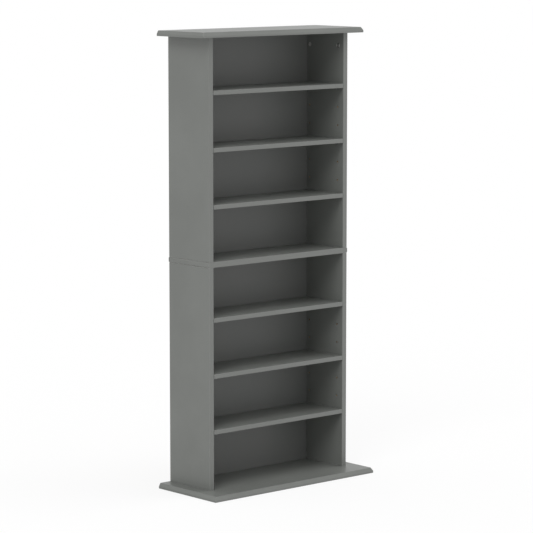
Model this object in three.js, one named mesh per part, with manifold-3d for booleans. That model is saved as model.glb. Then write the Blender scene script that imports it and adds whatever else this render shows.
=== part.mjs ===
// A tall open tower for disc cases: two storeys of boards, with eight compartments, six shelves
// that can be moved from hole to hole, a bevelled top panel and a wider bevelled base panel.
// Sizes are in millimetres. X runs to the right, Y to the back and Z up, and the origin is on
// the floor under the middle of the base panel.

import * as THREE from 'three';
import { mergeVertices } from 'three/addons/utils/BufferGeometryUtils.js';
import Module from 'manifold-3d';

// The case
const insideWidth = 472;
const carcassDepth = 169;
const sideThickness = 15;
const seam = 0.3; // left between two boards that meet
const arrisRadius = 1; // the eased edges of sides and shelves

// The three fixed panels
const baseThickness = 15;
const baseSideOverhang = 40;
const baseFrontOverhang = 71;
const centreThickness = 15;
const centreEndReach = 1.5; // how far its rounded ends stand out past the sides
const centreEndRadius = 4;
const topThickness = 15;
const topSideOverhang = 39;
const topFrontOverhang = 23.5;

// The bevel round the front and the two ends of the top and base panels
const bevelInset = 5.2; // from the widest line in to the edge of the upper face
const bevelFootRadius = 1.2; // under the upright part of the edge
const bevelNoseRadius = 5; // where the upright part turns into the slope
const bevelArrisRadius = 0.8; // where the slope meets the upper face
const bevelCornerRadius = 2; // at the two front corners, seen from above
const noseHeightShare = 0.4; // how much of the panel's thickness is upright

// The shelves and the clear heights that they leave
const shelvesPerStorey = 3;
const shelfThickness = 12;
const shelfEndClearance = 1;
const shelfBackClearance = 1;
const holePitch = 50.8;
const holesPerShelfStep = 3;
const lowestClearHeight = 151.8;
const lowerHighestClearHeight = 137.2;
const upperLowestClearHeight = 140.5;
const upperHighestClearHeight = 140.5;

// The rows of fittings along the inner face of a side
const frontRowSetback = 23; // behind the front edge
const rearRowSetback = 12; // in front of the back panel

// The back panels and the groove that holds them
const backThickness = 3;
const backRecess = 16; // from the rear edges in to the back panel
const grooveDepth = 4;
const grooveClearance = 0.3;

// The shelf studs
const studDiameter = 5;
const studReach = 8; // out of the side, under the shelf
const studChamfer = 0.6;
const studHoleWall = 6; // board left behind the blind hole
const seatGap = 0.3; // from a stud to the shelf that it carries
const boreClearance = 0.15; // round a fitting in its hole

// The cam locks and their bolts
const camDiameter = 12;
const camDrop = 36; // from the panel above down to the cam's axis
const camWall = 4; // board left behind the cam's pocket
const camSink = 0.2; // the cam's face below the board's face
const camChamfer = 0.5;
const camSlotLength = 8.4;
const camCrossLength = 5.6;
const camSlotWidth = 2.2;
const camSlotDepth = 2.4;
const boltHeadDiameter = 5.2;
const boltHeadLength = 3.2;
const boltNeckDiameter = 3.2;
const boltNeckLength = 5;
const boltShankDiameter = 5;
const boltCollarDiameter = 7;
const boltCollarThickness = 1.2;
const boltThreadDiameter = 5.8;
const boltThreadWall = 4.5; // panel left above the bolt's thread
const boltChamfer = 0.5;
const boltHeadClearance = 0.4;

// The screws that come up through the base panel
const screwDiameter = 4;
const screwHeadDiameter = 8;
const screwHeadHeight = 2.6;
const screwTipLength = 4;
const baseScrewReach = 30; // above the base panel
const screwSink = 0.3; // the head's face below the base panel's underside
const screwCrossLength = 4.4;
const screwCrossWidth = 0.9;
const screwCrossDepth = 1.6;

// The dowels that pin the two storeys together through the centre panel
const dowelDiameter = 8;
const dowelReach = 22; // into each side
const dowelChamfer = 1;

// How finely curves are stepped, and how far a cut runs on past a surface
const arrisSteps = 3;
const bevelSteps = 4;
const cornerSteps = 4;
const holeSteps = 12;
const camSteps = 24;
const overrun = 1;

const quarterTurn = Math.PI / 2;
const rightAngle = 90; // the same in degrees

// Places that follow from the sizes
const insideHalf = insideWidth / 2;
const outsideHalf = insideHalf + sideThickness;
const sideMiddle = insideHalf + sideThickness / 2;
const baseDepth = baseFrontOverhang + carcassDepth;
const rearY = baseDepth / 2;
const frontY = rearY - carcassDepth;
const backRearY = rearY - backRecess;
const backFrontY = backRearY - backThickness;
const frontRowY = frontY + frontRowSetback;
const rearRowY = backFrontY - rearRowSetback;
const studRadius = studDiameter / 2;
const studAxisDrop = studRadius + seatGap; // from a shelf's underside down to its studs
const studHoleDepth = sideThickness - studHoleWall;
const camRadius = camDiameter / 2;
const camPocketDepth = sideThickness - camWall;
const screwBoreRadius = screwDiameter / 2 + boreClearance;
const dowelBoreRadius = dowelDiameter / 2 + boreClearance;
const shelfStep = holePitch * holesPerShelfStep;
const shelfSpan = shelfStep * (shelvesPerStorey - 1);

const storeys = [
  {
    name: 'lower',
    floorZ: baseThickness,
    firstShelf: lowestClearHeight,
    height: lowestClearHeight + shelfSpan + shelfThickness + lowerHighestClearHeight,
  },
  {
    name: 'upper',
    firstShelf: upperLowestClearHeight,
    height: upperLowestClearHeight + shelfSpan + shelfThickness + upperHighestClearHeight,
  },
];
const [lower, upper] = storeys;
const centreZ = lower.floorZ + lower.height;
upper.floorZ = centreZ + centreThickness;
const topZ = upper.floorZ + upper.height;

const rows = [
  { name: 'front', y: frontRowY },
  { name: 'rear', y: rearRowY },
];
const hands = [
  { name: 'left', sign: -1 },
  { name: 'right', sign: 1 },
];

const wasm = await Module();
wasm.setup();

// From a closed geometry to a solid that can be cut and joined
function toSolid(geometry) {
  const bare = geometry.clone();
  bare.deleteAttribute('normal');
  bare.deleteAttribute('uv');
  const merged = mergeVertices(bare);
  const index = merged.index.array;
  const triVerts = [];
  for (let i = 0; i < index.length; i += 3) {
    const [a, b, c] = [index[i], index[i + 1], index[i + 2]];
    if (a !== b && b !== c && c !== a) triVerts.push(a, b, c);
  }
  const vertProperties = new Float32Array(merged.attributes.position.array);
  const mesh = new wasm.Mesh({ numProp: 3, vertProperties, triVerts: new Uint32Array(triVerts) });
  return new wasm.Manifold(mesh);
}

function toGeometry(solid) {
  const mesh = solid.getMesh();
  const geometry = new THREE.BufferGeometry();
  geometry.setAttribute('position', new THREE.BufferAttribute(mesh.vertProperties, 3));
  geometry.setIndex(new THREE.BufferAttribute(mesh.triVerts, 1));
  geometry.computeVertexNormals();
  return geometry;
}

function cut(solid, cutters) {
  return cutters.reduce((rest, cutter) => rest.subtract(cutter), solid);
}

// A square-edged block between two limits on each axis
function block([x0, x1], [y0, y1], [z0, z1]) {
  const box = new THREE.BoxGeometry(x1 - x0, y1 - y0, z1 - z0);
  box.translate((x0 + x1) / 2, (y0 + y1) / 2, (z0 + z1) / 2);
  return toSolid(box);
}

// Where a section's own two axes and its length go, for a length along X, Y or Z
const unitX = new THREE.Vector3(1, 0, 0);
const unitY = new THREE.Vector3(0, 1, 0);
const unitZ = new THREE.Vector3(0, 0, 1);
const lengthAlong = {
  x: new THREE.Matrix4().makeBasis(unitY, unitZ, unitX),
  y: new THREE.Matrix4().makeBasis(unitZ, unitX, unitY),
  z: new THREE.Matrix4(),
};

// A board with rounded edges along one axis: u and v are its section's limits, w its length's
function board(axis, [u0, u1], [v0, v1], [w0, w1], radius) {
  const outline = new THREE.Shape();
  outline.absarc(u1 - radius, v0 + radius, radius, -quarterTurn, 0);
  outline.absarc(u1 - radius, v1 - radius, radius, 0, quarterTurn);
  outline.absarc(u0 + radius, v1 - radius, radius, quarterTurn, 2 * quarterTurn);
  outline.absarc(u0 + radius, v0 + radius, radius, 2 * quarterTurn, 3 * quarterTurn);
  const prism = new THREE.ExtrudeGeometry(outline, {
    depth: w1 - w0,
    bevelEnabled: false,
    curveSegments: arrisSteps,
  });
  prism.translate(0, 0, w0);
  prism.applyMatrix4(lengthAlong[axis]);
  return toSolid(prism);
}

// A round bar along X or Z between two limits
function rodX(radius, [x0, x1], y, z, steps = holeSteps) {
  const rod = new THREE.CylinderGeometry(radius, radius, x1 - x0, steps);
  rod.rotateZ(quarterTurn);
  rod.translate((x0 + x1) / 2, y, z);
  return toSolid(rod);
}

function rodZ(radius, x, y, [z0, z1], steps = holeSteps) {
  const rod = new THREE.CylinderGeometry(radius, radius, z1 - z0, steps);
  rod.rotateX(quarterTurn);
  rod.translate(x, y, (z0 + z1) / 2);
  return toSolid(rod);
}

// A turned piece with its axis along Z, from a profile of [radius, height] that climbs
function turned(profile, steps = holeSteps) {
  const points = profile.map(([radius, height]) => new THREE.Vector2(radius, height));
  const lathe = new THREE.LatheGeometry(points, steps);
  lathe.rotateX(quarterTurn);
  return toSolid(lathe);
}

// A plain pin along Z with both its ends chamfered
function pin(radius, chamfer, [z0, z1]) {
  return turned([
    [0, z0],
    [radius - chamfer, z0],
    [radius, z0 + chamfer],
    [radius, z1 - chamfer],
    [radius - chamfer, z1],
    [0, z1],
  ]);
}

// Points on an arc about a centre, both ends included
function arc(centre, radius, fromAngle, toAngle, steps) {
  const points = [];
  for (let i = 0; i <= steps; i += 1) {
    const angle = THREE.MathUtils.lerp(fromAngle, toAngle, i / steps);
    points.push([centre[0] + radius * Math.cos(angle), centre[1] + radius * Math.sin(angle)]);
  }
  return points;
}

// The corner of an outline that turns clockwise, rounded: points from one straight to the next
function easedCorner(before, corner, after, radius, steps) {
  const [start, middle, end] = [before, corner, after].map(([x, y]) => new THREE.Vector2(x, y));
  const arriving = middle.clone().sub(start).angle();
  const leaving = end.clone().sub(middle).angle();
  const turn = THREE.MathUtils.euclideanModulo(arriving - leaving, 4 * quarterTurn);
  const towardsCentre = arriving - turn / 2 - quarterTurn;
  const reach = radius / Math.cos(turn / 2);
  const centre = [corner[0] + reach * Math.cos(towardsCentre), corner[1] + reach * Math.sin(towardsCentre)];
  return arc(centre, radius, arriving + quarterTurn, arriving + quarterTurn - turn, steps);
}

// The bevelled edge as [inset, height] from the underside up: an eased foot, a short upright nose
// that turns into a straight slope, and an eased arris at the upper face
function bevelledEdge(thickness) {
  const under = [bevelInset, 0];
  const foot = [0, 0];
  const nose = [0, thickness * noseHeightShare];
  const arris = [bevelInset, thickness];
  const over = [2 * bevelInset, thickness];
  return [
    ...easedCorner(under, foot, nose, bevelFootRadius, arrisSteps),
    ...easedCorner(foot, nose, arris, bevelNoseRadius, bevelSteps),
    ...easedCorner(nose, arris, over, bevelArrisRadius, arrisSteps),
  ];
}

// One level of a bevelled panel: its outline, counter-clockwise from above, square at the rear
function panelRing(half, front, [inset, height]) {
  const radius = bevelCornerRadius;
  const centreX = half - inset - radius;
  const centreY = front + inset + radius;
  const left = arc([-centreX, centreY], radius, -2 * quarterTurn, -quarterTurn, cornerSteps);
  const right = arc([centreX, centreY], radius, -quarterTurn, 0, cornerSteps);
  const outline = [...left, ...right, [half - inset, rearY], [inset - half, rearY]];
  return outline.map(([x, y]) => [x, y, height]);
}

// A panel bevelled along its front and both ends, built up level by level
function bevelledPanel(half, front, thickness) {
  const rings = bevelledEdge(thickness).map((level) => panelRing(half, front, level));
  const count = rings[0].length;
  const last = (rings.length - 1) * count;
  const index = [];
  for (let level = 0; level < last; level += count) {
    for (let i = 0; i < count; i += 1) {
      const a = level + i;
      const b = level + ((i + 1) % count);
      index.push(a, b, b + count, a, b + count, a + count);
    }
  }
  for (let i = 1; i < count - 1; i += 1) {
    index.push(0, i + 1, i);
    index.push(last, last + i, last + i + 1);
  }
  const geometry = new THREE.BufferGeometry();
  geometry.setAttribute('position', new THREE.Float32BufferAttribute(rings.flat(2), 3));
  geometry.setIndex(index);
  return toSolid(geometry);
}

// The groove that takes an edge of a back panel, along X in a panel's face
function panelGroove(zLimits) {
  const reach = insideHalf + grooveDepth;
  return block([-reach, reach], [backFrontY - grooveClearance, backRearY + grooveClearance], zLimits);
}

// One cutter at each of the four places in line with the sides where a fitting stands
function atFourPlaces(cutterAt) {
  return hands.flatMap(({ sign }) => rows.map(({ y }) => cutterAt(sign * sideMiddle, y)));
}

function topPanel() {
  const panel = bevelledPanel(outsideHalf + topSideOverhang, frontY - topFrontOverhang, topThickness);
  const radius = boltThreadDiameter / 2 + boreClearance;
  const boreZ = [-overrun, topThickness - boltThreadWall + boreClearance];
  const bores = atFourPlaces((x, y) => rodZ(radius, x, y, boreZ));
  return cut(panel, [panelGroove([-overrun, grooveDepth]), ...bores]);
}

function centrePanel() {
  const half = outsideHalf + centreEndReach;
  const panel = board('y', [0, centreThickness], [-half, half], [frontY, rearY], centreEndRadius);
  const lowerGroove = panelGroove([-overrun, grooveDepth]);
  const upperGroove = panelGroove([centreThickness - grooveDepth, centreThickness + overrun]);
  const boreZ = [-overrun, centreThickness + overrun];
  const bores = atFourPlaces((x, y) => rodZ(dowelBoreRadius, x, y, boreZ));
  return cut(panel, [lowerGroove, upperGroove, ...bores]);
}

// A countersunk screw, head down, from its head's face up to its point
function screwProfile(radiusAdd, reach) {
  const head = screwHeadDiameter / 2 + radiusAdd;
  const shank = screwDiameter / 2 + radiusAdd;
  return [
    [0, 0],
    [head, 0],
    [shank, screwHeadHeight],
    [shank, reach - screwTipLength],
    [0, reach],
  ];
}

function basePanel() {
  const panel = bevelledPanel(outsideHalf + baseSideOverhang, frontY - baseFrontOverhang, baseThickness);
  const groove = panelGroove([baseThickness - grooveDepth, baseThickness + overrun]);
  const mouthRadius = screwHeadDiameter / 2 + boreClearance;
  const mouths = atFourPlaces((x, y) => rodZ(mouthRadius, x, y, [-overrun, screwSink]));
  const profile = screwProfile(boreClearance, baseThickness + overrun + screwTipLength);
  const bores = atFourPlaces((x, y) => turned(profile).translate([x, y, screwSink]));
  return cut(panel, [groove, ...mouths, ...bores]);
}

// Heights of the stud holes above a side's own bottom end
function holeHeights(storey) {
  const count = holesPerShelfStep * (shelvesPerStorey - 1) + 1;
  const first = storey.firstShelf - studAxisDrop - seam;
  return Array.from({ length: count }, (_, i) => first + i * holePitch);
}

// Limits along X from one depth to another, measured outwards from the inner face of a side
function intoSide(sign, from, to) {
  const inner = sign * insideHalf;
  return [inner + sign * from, inner + sign * to].sort((a, b) => a - b);
}

// Bores along Z in the middle of a side's thickness, one on each row
function endBores(sign, radius, zLimits) {
  return rows.map(({ y }) => rodZ(radius, sign * sideMiddle, y, zLimits));
}

// What is cut into the ends of a lower side, for the screws below it and the dowels above it
function lowerEnds(sign, length) {
  const dowelFloor = length + seam - dowelReach - boreClearance;
  return [
    ...endBores(sign, screwBoreRadius, [-overrun, baseScrewReach + boreClearance]),
    ...endBores(sign, dowelBoreRadius, [dowelFloor, length + overrun]),
  ];
}

// What is cut into the ends of an upper side: bores for the dowels below it, and near its top end
// the pockets of the cams in its inner face and the bores down to them for the cam bolts
function upperEnds(sign, length) {
  const camZ = length + seam - camDrop;
  const pocketX = intoSide(sign, -overrun, camPocketDepth);
  return [
    ...endBores(sign, dowelBoreRadius, [-overrun, dowelReach + boreClearance]),
    ...endBores(sign, boltCollarDiameter / 2 + boreClearance, [camZ, length + overrun]),
    ...rows.map(({ y }) => rodX(camRadius + boreClearance, pocketX, y, camZ, camSteps)),
  ];
}

// A side, from its own bottom end up, with stud holes and the groove for the back panel in its
// inner face
function side(storey, sign) {
  const length = storey.height - 2 * seam;
  const panel = board('z', intoSide(sign, 0, sideThickness), [frontY, rearY], [0, length], arrisRadius);
  const grooveY = [backFrontY - grooveClearance, backRearY + grooveClearance];
  const groove = block(intoSide(sign, -overrun, grooveDepth), grooveY, [-overrun, length + overrun]);
  const holeX = intoSide(sign, -overrun, studHoleDepth);
  const holes = rows.flatMap(({ y }) => (
    holeHeights(storey).map((z) => rodX(studRadius + boreClearance, holeX, y, z))
  ));
  const ends = storey === lower ? lowerEnds(sign, length) : upperEnds(sign, length);
  return cut(panel, [groove, ...holes, ...ends]);
}

// A thin back panel, from the level of its storey's floor up and down into the grooves
function backPanel(storey) {
  const intoGroove = grooveDepth - grooveClearance;
  const half = insideHalf + intoGroove;
  return block([-half, half], [backFrontY, backRearY], [-intoGroove, storey.height + intoGroove]);
}

function shelf() {
  const half = insideHalf - shelfEndClearance;
  const depth = [frontY, backFrontY - shelfBackClearance];
  return board('x', depth, [0, shelfThickness], [-half, half], arrisRadius);
}

// A shelf stud along X, with its free end at positive X and the side's inner face at zero
function stud() {
  const upright = pin(studRadius, studChamfer, [boreClearance - studHoleDepth, studReach]);
  return upright.rotate([0, rightAngle, 0]);
}

// A dowel along Z, with the centre panel's underside at zero
function dowel() {
  return pin(dowelDiameter / 2, dowelChamfer, [-dowelReach, centreThickness + dowelReach]);
}

// A cam lock along X, with its slotted face at zero and its body behind it at positive X
function camLock() {
  const length = camPocketDepth - camSink - boreClearance;
  const rim = camRadius - camChamfer;
  const body = turned([
    [0, 0],
    [rim, 0],
    [camRadius, camChamfer],
    [camRadius, length],
    [0, length],
  ], camSteps).rotate([0, rightAngle, 0]);
  const slotX = [-overrun, camSlotDepth];
  const slot = (halfY, halfZ) => block(slotX, [-halfY, halfY], [-halfZ, halfZ]);
  const chamberRadius = boltHeadDiameter / 2 + boltHeadClearance;
  const chamberFloor = -boltHeadLength / 2 - boltHeadClearance;
  const boltX = sideThickness / 2 - camSink;
  return cut(body, [
    slot(camSlotWidth / 2, camSlotLength / 2),
    slot(camCrossLength / 2, camSlotWidth / 2),
    rodZ(chamberRadius, boltX, 0, [chamberFloor, camRadius + overrun]),
  ]);
}

// A cam bolt along Z, with the top panel's underside at zero: thread above, collar, shank and the
// neck and head that the cam grips below
function camBolt() {
  const threadTop = topThickness - boltThreadWall;
  const thread = boltThreadDiameter / 2;
  const collar = boltCollarDiameter / 2;
  const shank = boltShankDiameter / 2;
  const neck = boltNeckDiameter / 2;
  const head = boltHeadDiameter / 2;
  const headBottom = -camDrop - boltHeadLength / 2;
  const headTop = headBottom + boltHeadLength;
  const neckTop = headTop + boltNeckLength;
  const collarBottom = -seam - boltCollarThickness;
  return turned([
    [0, headBottom],
    [head - boltChamfer, headBottom],
    [head, headBottom + boltChamfer],
    [head, headTop],
    [neck, headTop],
    [neck, neckTop],
    [shank, neckTop],
    [shank, collarBottom],
    [collar, collarBottom],
    [collar, -seam],
    [thread, -seam],
    [thread, threadTop - boltChamfer],
    [thread - boltChamfer, threadTop],
    [0, threadTop],
  ]);
}

// A screw through the base panel, with the panel's underside at zero and a cross in its head
function baseScrew() {
  const body = turned(screwProfile(0, baseThickness + baseScrewReach - screwSink));
  const crossZ = [-overrun, screwCrossDepth];
  const bar = (halfX, halfY) => block([-halfX, halfX], [-halfY, halfY], crossZ);
  const screw = cut(body, [
    bar(screwCrossLength / 2, screwCrossWidth / 2),
    bar(screwCrossWidth / 2, screwCrossLength / 2),
  ]);
  return screw.translate([0, 0, screwSink]);
}

// Finishes
function greyFoil() {
  return new THREE.MeshStandardMaterial({ color: 0x7c7e7b, roughness: 0.45, metalness: 0 });
}

function greyBackBoard() {
  return new THREE.MeshStandardMaterial({ color: 0x777976, roughness: 0.55, metalness: 0 });
}

function platedSteel() {
  return new THREE.MeshStandardMaterial({ color: 0xb4b6b8, roughness: 0.35, metalness: 1 });
}

function castZinc() {
  return new THREE.MeshStandardMaterial({ color: 0xa3a5a6, roughness: 0.5, metalness: 1 });
}

function beechWood() {
  return new THREE.MeshStandardMaterial({ color: 0xc8a878, roughness: 0.7, metalness: 0 });
}

const tower = new THREE.Group();

function place(name, solid, material, x, y, z) {
  const mesh = new THREE.Mesh(toGeometry(solid), material);
  mesh.name = name;
  mesh.position.set(x, y, z);
  tower.add(mesh);
  return mesh;
}

place('base_panel', basePanel(), greyFoil(), 0, 0, 0);
place('centre_panel', centrePanel(), greyFoil(), 0, 0, centreZ);
place('top_panel', topPanel(), greyFoil(), 0, 0, topZ);

for (const storey of storeys) {
  const firstNumber = storeys.indexOf(storey) * shelvesPerStorey + 1;
  place(`${storey.name}_back_panel`, backPanel(storey), greyBackBoard(), 0, 0, storey.floorZ);
  for (const { name, sign } of hands) {
    place(`${storey.name}_${name}_side`, side(storey, sign), greyFoil(), 0, 0, storey.floorZ + seam);
  }
  for (let i = 0; i < shelvesPerStorey; i += 1) {
    const shelfName = `shelf_${firstNumber + i}`;
    const shelfZ = storey.floorZ + storey.firstShelf + i * shelfStep;
    place(shelfName, shelf(), greyFoil(), 0, 0, shelfZ);
    for (const hand of hands) {
      const studX = hand.sign * insideHalf;
      for (const row of rows) {
        const studName = `${shelfName}_stud_${row.name}_${hand.name}`;
        const peg = place(studName, stud(), platedSteel(), studX, row.y, shelfZ - studAxisDrop);
        if (hand.sign > 0) peg.rotation.z = 2 * quarterTurn;
      }
    }
  }
}

for (const hand of hands) {
  for (const row of rows) {
    const where = `${row.name}_${hand.name}`;
    const middleX = hand.sign * sideMiddle;
    place(`base_screw_${where}`, baseScrew(), platedSteel(), middleX, row.y, 0);
    place(`centre_dowel_${where}`, dowel(), beechWood(), middleX, row.y, centreZ);
    place(`cam_bolt_${where}`, camBolt(), platedSteel(), middleX, row.y, topZ);
    const camX = hand.sign * (insideHalf + camSink);
    const cam = place(`cam_lock_${where}`, camLock(), castZinc(), camX, row.y, topZ - camDrop);
    if (hand.sign < 0) cam.rotation.z = 2 * quarterTurn;
  }
}

export default tower;
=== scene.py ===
import math

import bpy
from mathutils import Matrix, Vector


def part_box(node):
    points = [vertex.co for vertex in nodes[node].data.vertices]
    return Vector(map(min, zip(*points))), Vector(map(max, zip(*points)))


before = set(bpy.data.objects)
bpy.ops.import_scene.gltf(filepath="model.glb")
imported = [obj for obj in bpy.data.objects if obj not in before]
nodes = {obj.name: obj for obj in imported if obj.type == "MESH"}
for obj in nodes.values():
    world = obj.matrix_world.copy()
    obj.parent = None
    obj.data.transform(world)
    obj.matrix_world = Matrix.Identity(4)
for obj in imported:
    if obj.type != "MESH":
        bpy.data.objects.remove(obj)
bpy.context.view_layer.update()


# Shader maths: a wrapped socket, so that mask * 0.5 + 0.2 adds its own Math nodes
class Value:
    def __init__(self, shader, socket):
        self.shader = shader
        self.socket = socket

    def maths(self, operation, first, second):
        return self.shader.add("ShaderNodeMath", {"operation": operation}, {0: first, 1: second})

    def __add__(self, other):
        return self.maths("ADD", self, other)

    def __radd__(self, other):
        return self.maths("ADD", other, self)

    def __sub__(self, other):
        return self.maths("SUBTRACT", self, other)

    def __rsub__(self, other):
        return self.maths("SUBTRACT", other, self)

    def __mul__(self, other):
        return self.maths("MULTIPLY", self, other)

    def __rmul__(self, other):
        return self.maths("MULTIPLY", other, self)

    def above(self, other):
        # 1 where it is more than the other, and 0 elsewhere
        return self.maths("GREATER_THAN", self, other)

    def size(self):
        return self.maths("ABSOLUTE", self, 0)

    def most(self, other):
        return self.maths("MAXIMUM", self, other)

    def least(self, other):
        return self.maths("MINIMUM", self, other)

    def between(self, low, high):
        # 0 below low, 1 above high, and an even slope from one to the other
        return self.shader.add("ShaderNodeMapRange", {"clamp": True},
                               {"Value": self, "From Min": low, "From Max": high})


class Shader:
    def __init__(self, owner):
        # The owner is a material, or the world
        self.owner = owner
        owner.use_nodes = True
        self.tree = owner.node_tree
        self.tree.nodes.clear()

    def add(self, kind, settings=None, inputs=None, output=0):
        # Any node: its settings first, then the values or links of its sockets
        node = self.tree.nodes.new(kind)
        for key, value in (settings or {}).items():
            setattr(node, key, value)
        for key, value in (inputs or {}).items():
            if isinstance(value, Value):
                self.tree.links.new(value.socket, node.inputs[key])
            else:
                node.inputs[key].default_value = value
        return Value(self, node.outputs[output]) if node.outputs else node

    def parts(self, vector):
        node = self.add("ShaderNodeSeparateXYZ", {}, {"Vector": vector}).socket.node
        return [Value(self, output) for output in node.outputs]

    def place(self):
        # Each mesh is in the frame of the whole tower, so this is where its point lies at rest
        return self.add("ShaderNodeTexCoord", output="Object")

    def facing(self):
        return self.parts(self.add("ShaderNodeNewGeometry", output="Normal"))

    def mixColours(self, share, first, second):
        # The Mix node keeps its colours in sockets 6 and 7, and their mix in output 2
        return self.add("ShaderNodeMix", {"data_type": "RGBA"}, {0: share, 6: first, 7: second}, output=2)

    def mixSurfaces(self, share, first, second):
        return self.add("ShaderNodeMixShader", {}, {0: share, 1: first, 2: second})

    def noise(self, place, scale, detail=2, roughness=0.5):
        sockets = {"Vector": place, "Scale": scale, "Detail": detail, "Roughness": roughness}
        return self.add("ShaderNodeTexNoise", {}, sockets)

    def bump(self, look, height):
        sockets = {"Strength": look["bumpStrength"], "Distance": look["bumpDepth"], "Height": height}
        return self.add("ShaderNodeBump", {}, sockets)

    def coat(self, shade, roughness, bump, metal=0):
        # The surface of a piece, from the shade, roughness and bump worked out for it
        sockets = {"Base Color": shade, "Metallic": metal, "Roughness": roughness, "Normal": bump}
        return self.finish(self.add("ShaderNodeBsdfPrincipled", {}, sockets))

    def finish(self, surface, output="ShaderNodeOutputMaterial"):
        self.add(output, {}, {"Surface": surface})
        return self.owner


def linear(red, green, blue):
    # A colour as a screen shows it, 0 to 255, to the numbers that a socket takes
    def one(shade):
        shade /= 255
        return shade / 12.92 if shade <= 0.04045 else ((shade + 0.055) / 1.055) ** 2.4
    return (one(red), one(green), one(blue), 1)


def unevenRoughness(look, noise):
    # The look's roughness on average, and half the spread more or less from place to place
    return noise * look["roughnessSpread"] + (look["roughness"] - look["roughnessSpread"] / 2)


noiseRange = (0.35, 0.65)    # most of a noise lies between these two

# Foil on the boards: a satin grey with a fine pressed grain. The faces that look forward are painted
# a little paler, partly the narrow front edges' own tone and partly painted light from the front, and
# the eased arrises are painted paler, partly wear and partly a painted highlight. The sides show their
# raw core where a hole or groove is cut.
# Their ends, and the centre panel between them, are painted pale next to the sides' outer faces, as
# painted light in the joint: the real boards touch there, and the gap that the solids keep would draw
# a darker line of shade than the real joint
greyFoil = {
    "shade": (112.8, 115.2, 111.8),
    "paler": (117.8, 120.2, 116.8),
    "frontEdgeAndLight": (121, 123, 120),
    "frontTurn": (0.88, 0.97),    # how squarely a face looks forward, from none to all of that shade
    "arris": (133, 135, 132),
    "arrisWidth": 0.0016,         # metres
    "arrisWearAndHighlight": 0.5,             # how much of the arris shade shows there
    "core": (172, 148, 116),
    "coreChip": (142, 118, 88),
    "chipScale": 700,             # per metre
    "chipRange": (0.4, 0.6),
    "coreDepth": 0.0007,          # how far below a board's faces the foil has ended
    "sideEndPaintedLight": (250, 250, 247),
    "underSidesPaintedLight": (145, 145, 142),
    "jointReach": 0.004,          # how far in from the sides' outer faces these two shades show
    "jointTurn": 0.3,             # on faces turned up or down by more than this
    "roughness": 0.36,
    "roughnessSpread": 0.08,
    "cloudScale": 7,
    "grainScale": 900,
    "bumpDepth": 0.00004,
    "bumpStrength": 0.25,
}
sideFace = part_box("upper_right_side")[1][0]    # how far out the sides' outer faces lie


def gapsToFaces(spot, low, high):
    # How far a point of a board lies inside its two faces along X, Y and Z
    gaps = []
    for along, lowest, highest in zip(spot, low, high):
        middle = (lowest + highest) / 2
        gaps.append((highest - lowest) / 2 - (along - middle).size())
    return gaps


def makeFoil(board, look):
    shader = Shader(bpy.data.materials.new("greyFoil_" + board))
    place = shader.place()
    spot = shader.parts(place)
    facing = shader.facing()
    cloud = shader.noise(place, look["cloudScale"], detail=3)
    grain = shader.noise(place, look["grainScale"], roughness=0.6)
    alongX, alongY, alongZ = gapsToFaces(spot, *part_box(board))
    nearest = alongX.least(alongY).least(alongZ)
    # The second smallest of the three gaps is the way to the board's nearest edge
    toEdge = alongX.least(alongY).most(alongX.most(alongY).least(alongZ))
    shade = shader.mixColours(cloud.between(*noiseRange), linear(*look["shade"]), linear(*look["paler"]))
    # Painted light: faces that look forward are painted paler, partly the edge band's own tone, partly
    # light from the front
    forward = (0 - facing[1]).between(*look["frontTurn"])
    shade = shader.mixColours(forward, shade, linear(*look["frontEdgeAndLight"]))
    # Painted highlight along the arrises, partly their wear too
    wearAndHighlight = (1 - toEdge.between(0, look["arrisWidth"])) * look["arrisWearAndHighlight"]
    shade = shader.mixColours(wearAndHighlight, shade, linear(*look["arris"]))
    isSide = board.endswith("_side")
    if isSide:
        chips = shader.noise(place, look["chipScale"], detail=3, roughness=0.7).between(*look["chipRange"])
        core = shader.mixColours(chips, linear(*look["core"]), linear(*look["coreChip"]))
        shade = shader.mixColours(nearest.above(look["coreDepth"]), shade, core)
    # Painted light: the sides' ends and the centre panel under them are painted pale, to lift the shade in
    # the gap between the solids
    if isSide or board == "centre_panel":
        across = spot[0].size()
        inJoint = across.above(sideFace - look["jointReach"]) * (1 - across.above(sideFace))
        inJoint = inJoint * facing[2].size().above(look["jointTurn"])
        shade = shader.mixColours(inJoint, shade, linear(*look["sideEndPaintedLight" if isSide else "underSidesPaintedLight"]))
    return shader.coat(shade, unevenRoughness(look, cloud), shader.bump(look, grain))


# The thin back panels: grey in front, bare brown hardboard behind
backBoard = {
    "shade": (113, 115, 113),
    "paler": (117, 118, 116),
    "fibre": (124, 92, 62),
    "fibreDark": (98, 70, 46),
    "roughness": 0.42,
    "roughnessSpread": 0.08,
    "fibreRoughness": 0.75,
    "rearTurn": 0.5,         # faces turned to the rear by more than this are bare
    "cloudScale": 6,         # per metre
    "fibreScale": 260,
    "meshScale": 1100,
    "bumpDepth": 0.00008,    # metres
    "rearBump": 3,           # how many times deeper the mesh is pressed into the rear
    "bumpStrength": 0.3,
}


def makeBackBoard(look):
    shader = Shader(bpy.data.materials.new("backBoard"))
    place = shader.place()
    cloud = shader.noise(place, look["cloudScale"], detail=3)
    fibre = shader.noise(place, look["fibreScale"], detail=4, roughness=0.7)
    mesh = shader.noise(place, look["meshScale"])
    bare = shader.facing()[1].above(look["rearTurn"])
    front = shader.mixColours(cloud.between(*noiseRange), linear(*look["shade"]), linear(*look["paler"]))
    rear = shader.mixColours(fibre.between(*noiseRange), linear(*look["fibreDark"]), linear(*look["fibre"]))
    roughness = unevenRoughness(look, cloud) * (1 - bare) + bare * look["fibreRoughness"]
    height = mesh * (1 + bare * (look["rearBump"] - 1))
    return shader.coat(shader.mixColours(bare, front, rear), roughness, shader.bump(look, height))
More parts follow.
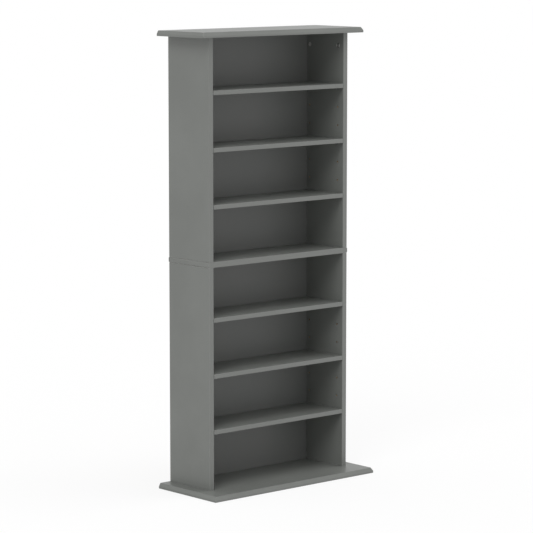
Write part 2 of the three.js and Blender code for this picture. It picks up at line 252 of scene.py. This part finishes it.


# Plated steel pins, bolts and screws, and duller cast zinc cams. The front cams are painted paler, a
# painted highlight, with a dark band of painted shade along their slot, which runs straight up
steelLook = {
    "shade": (138, 139, 140),
    "dull": (112, 113, 114),
    "metal": 0.9,
    "roughness": 0.38,
    "roughnessSpread": 0.2,
    "blotchScale": 700,      # per metre
    "grainScale": 3000,
    "bumpDepth": 0.00003,    # metres
    "bumpStrength": 0.2,
}
zincLook = {
    **steelLook,
    "shade": (190, 190, 187),
    "dull": (166, 166, 164),
    "metal": 0.25,
    "roughness": 0.5,
    "blotchScale": 500,
    "grainScale": 2500,
}
slotShadeLook = {
    **zincLook,
    # Painted highlight: these front cams are painted paler than the other cams
    "shade": (236, 236, 233),
    "dull": (224, 224, 221),
    "paintedSlotShade": (40, 40, 39),
    "slotShadeHalf": 0.0029,    # half the band's width, metres
    "slotShadeFade": 0.0003,    # and how far its edges fade out
}
frontCamLow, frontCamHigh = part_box("cam_lock_front_right")
slotY = (frontCamLow[1] + frontCamHigh[1]) / 2


def makeMetal(name, look):
    shader = Shader(bpy.data.materials.new(name))
    place = shader.place()
    blotch = shader.noise(place, look["blotchScale"], detail=3)
    grain = shader.noise(place, look["grainScale"])
    shade = shader.mixColours(blotch.between(*noiseRange), linear(*look["dull"]), linear(*look["shade"]))
    if "paintedSlotShade" in look:
        # Painted shade: a dark band along the front cams' slot
        fromSlot = (shader.parts(place)[1] - slotY).size()
        outsideSlotShade = fromSlot.between(look["slotShadeHalf"], look["slotShadeHalf"] + look["slotShadeFade"])
        shade = shader.mixColours(outsideSlotShade, linear(*look["paintedSlotShade"]), shade)
    return shader.coat(shade, unevenRoughness(look, blotch), shader.bump(look, grain), look["metal"])


# The dowels, which show only when the tower is apart
beechLook = {
    "shade": (201, 170, 128),
    "growthLine": (176, 142, 100),
    "lineScale": 420,        # per metre, across the grain
    "lineStretch": 0.06,     # of that scale, along it
    "lineRange": (0.4, 0.65),
    "roughness": 0.75,
    "roughnessSpread": 0.1,
    "bumpDepth": 0.00005,    # metres
    "bumpStrength": 0.3,
}


def makeBeech(look):
    shader = Shader(bpy.data.materials.new("beechDowel"))
    sockets = {"Vector": shader.place(), "Scale": (1, 1, look["lineStretch"])}
    place = shader.add("ShaderNodeMapping", {}, sockets)
    line = shader.noise(place, look["lineScale"], detail=4, roughness=0.6)
    onLine = line.between(*look["lineRange"])
    shade = shader.mixColours(onLine, linear(*look["shade"]), linear(*look["growthLine"]))
    return shader.coat(shade, unevenRoughness(look, line), shader.bump(look, line))


finishes = {
    "grey_back_board": makeBackBoard(backBoard),
    "plated_steel": makeMetal("platedSteel", steelLook),
    "cast_zinc": makeMetal("castZinc", zincLook),
    "beech_wood": makeBeech(beechLook),
}
slotShadeZinc = makeMetal("slotShadeZinc", slotShadeLook)

# Each board has its own foil, whose arrises are found from the board's own faces
for name, node in nodes.items():
    for slot in node.material_slots:
        if slot.material.name == "grey_foil_board":
            slot.material = makeFoil(name, greyFoil)
        elif name.startswith("cam_lock_front"):
            slot.material = slotShadeZinc
        else:
            slot.material = finishes[slot.material.name]
print("finished", len(nodes), "pieces")


# Floor and surround
white = (1, 1, 1, 1)
studio = {
    "floorSize": 400,        # metres
    "floorDrop": 0.0004,     # below the base, so that the two faces don't fight
    "floorShade": 0.75,      # as it lights the tower from below
    "floorSeen": 0.94,       # as the camera sees it, so that its open parts are white
    "floorWhite": 0.82,      # how much of what the camera sees is plain white, without shadow
    "surround": 0.65,        # what lights the tower from all sides
    "surroundSheen": 0.81,   # the same surround as the foil mirrors it
}


def makeFloor(look):
    half = look["floorSize"] / 2
    mesh = bpy.data.meshes.new("floor")
    corners = [(-half, -half), (half, -half), (half, half), (-half, half)]
    mesh.from_pydata([(x, y, -look["floorDrop"]) for x, y in corners], [], [(0, 1, 2, 3)])
    floor = bpy.data.objects.new("floor", mesh)
    bpy.context.scene.collection.objects.link(floor)
    shader = Shader(bpy.data.materials.new("paleFloor"))
    seen = shader.add("ShaderNodeLightPath", output="Is Camera Ray")
    shades = [(look[key], look[key], look[key], 1) for key in ("floorShade", "floorSeen")]
    matt = shader.add("ShaderNodeBsdfDiffuse", {}, {"Color": shader.mixColours(seen, *shades)})
    plain = shader.add("ShaderNodeEmission", {}, {"Color": white, "Strength": 1})
    above = shader.mixSurfaces(seen * look["floorWhite"], matt, plain)
    clear = shader.add("ShaderNodeBsdfTransparent")
    fromBelow = shader.add("ShaderNodeNewGeometry", output="Backfacing")
    surface = shader.mixSurfaces(fromBelow, above, clear)
    mesh.materials.append(shader.finish(surface))


def makeSurround(look):
    # The camera sees plain white, and a matt face and a mirroring one each get their own level
    world = bpy.data.worlds.new("surround")
    bpy.context.scene.world = world
    shader = Shader(world)
    level = 1
    for ray, strength in (("Is Diffuse Ray", look["surround"]), ("Is Glossy Ray", look["surroundSheen"])):
        level = level + shader.add("ShaderNodeLightPath", output=ray) * (strength - 1)
    background = shader.add("ShaderNodeBackground", {}, {"Color": white, "Strength": level})
    shader.finish(background, "ShaderNodeOutputWorld")


# Two soft lamps: what each adds to a white face turned to it, its height above the horizon,
# its place from the front towards the left, and its width, in degrees
lamps = {
    "leftLamp": {"share": 0.32, "height": 40, "side": 60, "width": 30},
    "rightLamp": {"share": 0.23, "height": 65, "side": -60, "width": 30},
}


def makeLamp(name, look):
    data = bpy.data.lights.new(name, "SUN")
    data.energy = look["share"] * math.pi    # a sun of pi lights a white face turned to it to just 1
    data.angle = math.radians(look["width"])
    lamp = bpy.data.objects.new(name, data)
    bpy.context.scene.collection.objects.link(lamp)
    lamp.rotation_euler = (math.radians(90 - look["height"]), 0, -math.radians(look["side"]))


makeFloor(studio)
makeSurround(studio)
for name, look in lamps.items():
    makeLamp(name, look)
print("lit it with", len(lamps), "lamps and the surround")

# The camera stands to the left, a little above the tower, and looks slightly down
cameraLook = {
    "place": (-4.652636, -5.270155, 1.526978),
    "turn": 41.4113,         # degrees from straight back towards the right
    "tilt": 7.5211,          # degrees down
    "lens": 174.547,         # millimetres
    "sensor": 36,
    "farthest": 100,         # metres
}


def makeCamera(look):
    data = bpy.data.cameras.new("camera")
    data.lens = look["lens"]
    data.sensor_width = look["sensor"]
    data.clip_end = look["farthest"]
    camera = bpy.data.objects.new("camera", data)
    bpy.context.scene.collection.objects.link(camera)
    camera.location = look["place"]
    camera.rotation_euler = (math.radians(90 - look["tilt"]), 0, -math.radians(look["turn"]))
    bpy.context.scene.camera = camera


makeCamera(cameraLook)
bpy.context.scene.view_settings.view_transform = "Standard"
print("set up the camera")
